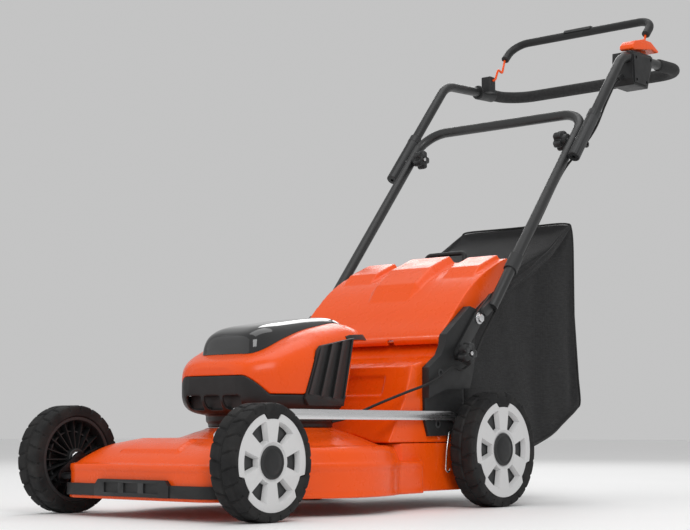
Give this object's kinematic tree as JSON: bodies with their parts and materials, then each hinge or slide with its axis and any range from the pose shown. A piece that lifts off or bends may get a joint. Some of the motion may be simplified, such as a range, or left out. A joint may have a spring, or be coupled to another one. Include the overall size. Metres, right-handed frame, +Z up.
{
  "type": "push lawn mower",
  "caption": "Push lawn mower with a battery housing on a moulded deck, cranked wheel axles, a folding handle with bail, a rear flap and a cloth grass bag.",
  "frame": {"origin": "middle of the footprint on the ground, below the middle of the overall box", "axes": "+Z up, +Y towards the operator at the rear, +X to the operator's left"},
  "size_m": [0.476, 1.438, 1.0299],
  "materials": {
    "orange_plastic": "satin moulded composite",
    "black_plastic": "fine-grained matte",
    "gloss_black": "polished",
    "tyre_rubber": "moulded tread",
    "grey_plastic": "satin",
    "black_paint": "powder coat",
    "bright_steel": "zinc plated",
    "dark_steel": "black painted steel",
    "bag_cloth": "woven polyester",
    "grip_foam": "soft closed-cell foam",
    "cable_rubber": "smooth jacket"
  },
  "bodies": {
    "chassis": {"deck_shell": "orange_plastic", "front_bumper": "black_plastic", "chute_housing": "orange_plastic", "housing_base": "black_plastic", "housing_cover": "orange_plastic", "vent_grille_left": "black_plastic", "vent_grille_right": "black_plastic", "battery_pack": "black_plastic", "motor_stator": "dark_steel", "handle_bracket_left": "black_plastic", "handle_bracket_right": "black_plastic", "handle_bolt_left": "bright_steel", "handle_bolt_right": "bright_steel", "cable_lower": "cable_rubber", "flap_rod": "bright_steel"},
    "cutter": {"motor_rotor": "bright_steel", "blade_holder": "black_plastic", "blade": "dark_steel", "blade_bolt": "bright_steel"},
    "lid": {"battery_lid": "gloss_black"},
    "rear_axle": {"rear_axle": "dark_steel", "height_lever": "black_plastic"},
    "front_axle": {"front_axle": "dark_steel"},
    "link": {"link_bar": "bright_steel"},
    "lower_handle": {"lower_handle": "black_paint", "cable_middle": "cable_rubber", "cable_clip": "black_plastic"},
    "upper_handle": {"upper_handle": "black_paint", "upper_sleeve_left": "black_plastic", "upper_sleeve_right": "black_plastic", "grip": "grip_foam", "control_box": "black_plastic", "bail_clamp": "black_plastic", "cable_upper": "cable_rubber"},
    "bail": {"bail_bar": "black_plastic", "bail_wire_left": "orange_plastic", "bail_wire_right": "orange_plastic"},
    "paddle": {"start_paddle": "orange_plastic"},
    "flap": {"discharge_flap": "orange_plastic"},
    "bag": {"bag_fabric": "bag_cloth", "bag_frame": "black_plastic", "bag_handle": "black_plastic"},
    "wheel_front_left": {"tyre_front_left": "tyre_rubber", "wheel_disc_front_left": "black_plastic", "rim_cover_front_left": "grey_plastic"},
    "wheel_front_right": {"tyre_front_right": "tyre_rubber", "wheel_disc_front_right": "black_plastic", "rim_cover_front_right": "grey_plastic"},
    "wheel_rear_left": {"tyre_rear_left": "tyre_rubber", "wheel_disc_rear_left": "black_plastic", "rim_cover_rear_left": "grey_plastic"},
    "wheel_rear_right": {"tyre_rear_right": "tyre_rubber", "wheel_disc_rear_right": "black_plastic", "rim_cover_rear_right": "grey_plastic"},
    "lower_knob_left": {"lower_knob_left": "black_plastic"},
    "upper_knob_left": {"upper_knob_left": "black_plastic"},
    "lower_knob_right": {"lower_knob_right": "black_plastic"},
    "upper_knob_right": {"upper_knob_right": "black_plastic"}
  },
  "joints": [
    {"name": "blade_spin", "type": "hinge", "parent": "chassis", "child": "cutter", "pos_m": [0, -0.378, 0.06], "axis": [0, 0, 1], "continuous": true},
    {"name": "battery_lid_hinge", "type": "hinge", "parent": "chassis", "child": "lid", "pos_m": [0, -0.233, 0.309], "axis": [-1, 0, 0], "range_deg": [0, 75]},
    {"name": "height_adjust", "type": "hinge", "parent": "chassis", "child": "rear_axle", "pos_m": [0, -0.066, 0.074], "axis": [-1, 0, 0], "range_deg": [0, 75]},
    {"name": "front_axle_crank", "type": "hinge", "parent": "chassis", "child": "front_axle", "pos_m": [0, -0.666, 0.061], "axis": [-1, 0, 0], "range_deg": [0, 75]},
    {"name": "link_pivot", "type": "hinge", "parent": "rear_axle", "child": "link", "pos_m": [0.181, -0.088, 0.124], "axis": [-1, 0, 0], "range_deg": [-75, 0]},
    {"name": "lower_handle_fold", "type": "hinge", "parent": "chassis", "child": "lower_handle", "pos_m": [0, -0.041, 0.331], "axis": [1, 0, 0], "range_deg": [0, 128]},
    {"name": "upper_handle_fold", "type": "hinge", "parent": "lower_handle", "child": "upper_handle", "pos_m": [0, 0.2777, 0.7004], "axis": [-1, 0, 0], "range_deg": [0, 95]},
    {"name": "bail_squeeze", "type": "hinge", "parent": "upper_handle", "child": "bail", "pos_m": [0, 0.573, 0.925], "axis": [-1, 0, 0], "range_deg": [0, 44], "stiffness_Nm_per_rad": 1.2, "springref_deg": -28.65},
    {"name": "start_paddle_press", "type": "hinge", "parent": "upper_handle", "child": "paddle", "pos_m": [0.218, 0.468, 0.915], "axis": [-1, 0, 0], "range_deg": [0, 5], "stiffness_Nm_per_rad": 1, "springref_deg": -17.19},
    {"name": "flap_hinge", "type": "hinge", "parent": "chassis", "child": "flap", "pos_m": [0, -0.129, 0.291], "axis": [1, 0, 0], "range_deg": [0, 60], "stiffness_Nm_per_rad": 0.6, "springref_deg": -34.38},
    {"name": "bag_lift_off", "type": "slide", "parent": "chassis", "child": "bag", "axis": [0, 0.9659, 0.2588], "range_m": [0, 0.35]},
    {"name": "wheel_front_left_spin", "type": "hinge", "parent": "front_axle", "child": "wheel_front_left", "pos_m": [0.2145, -0.632, 0.087], "axis": [1, 0, 0], "continuous": true},
    {"name": "wheel_front_right_spin", "type": "hinge", "parent": "front_axle", "child": "wheel_front_right", "pos_m": [-0.2145, -0.632, 0.087], "axis": [1, 0, 0], "continuous": true},
    {"name": "wheel_rear_left_spin", "type": "hinge", "parent": "rear_axle", "child": "wheel_rear_left", "pos_m": [0.2145, -0.032, 0.1], "axis": [1, 0, 0], "continuous": true},
    {"name": "wheel_rear_right_spin", "type": "hinge", "parent": "rear_axle", "child": "wheel_rear_right", "pos_m": [-0.2145, -0.032, 0.1], "axis": [1, 0, 0], "continuous": true},
    {"name": "lower_knob_left_turn", "type": "hinge", "parent": "lower_handle", "child": "lower_knob_left", "pos_m": [0.205, -0.1, 0.266], "axis": [1, 0, 0], "continuous": true},
    {"name": "upper_knob_left_turn", "type": "hinge", "parent": "lower_handle", "child": "upper_knob_left", "pos_m": [0.176, 0.2777, 0.7004], "axis": [-1, 0, 0], "continuous": true},
    {"name": "lower_knob_right_turn", "type": "hinge", "parent": "lower_handle", "child": "lower_knob_right", "pos_m": [-0.205, -0.1, 0.266], "axis": [-1, 0, 0], "continuous": true},
    {"name": "upper_knob_right_turn", "type": "hinge", "parent": "lower_handle", "child": "upper_knob_right", "pos_m": [-0.176, 0.2777, 0.7004], "axis": [1, 0, 0], "continuous": true}
  ],
  "couplings": [
    {"joint": "front_axle_crank", "follows": "height_adjust", "ratio": 1},
    {"joint": "link_pivot", "follows": "height_adjust", "ratio": -1}
  ]
}
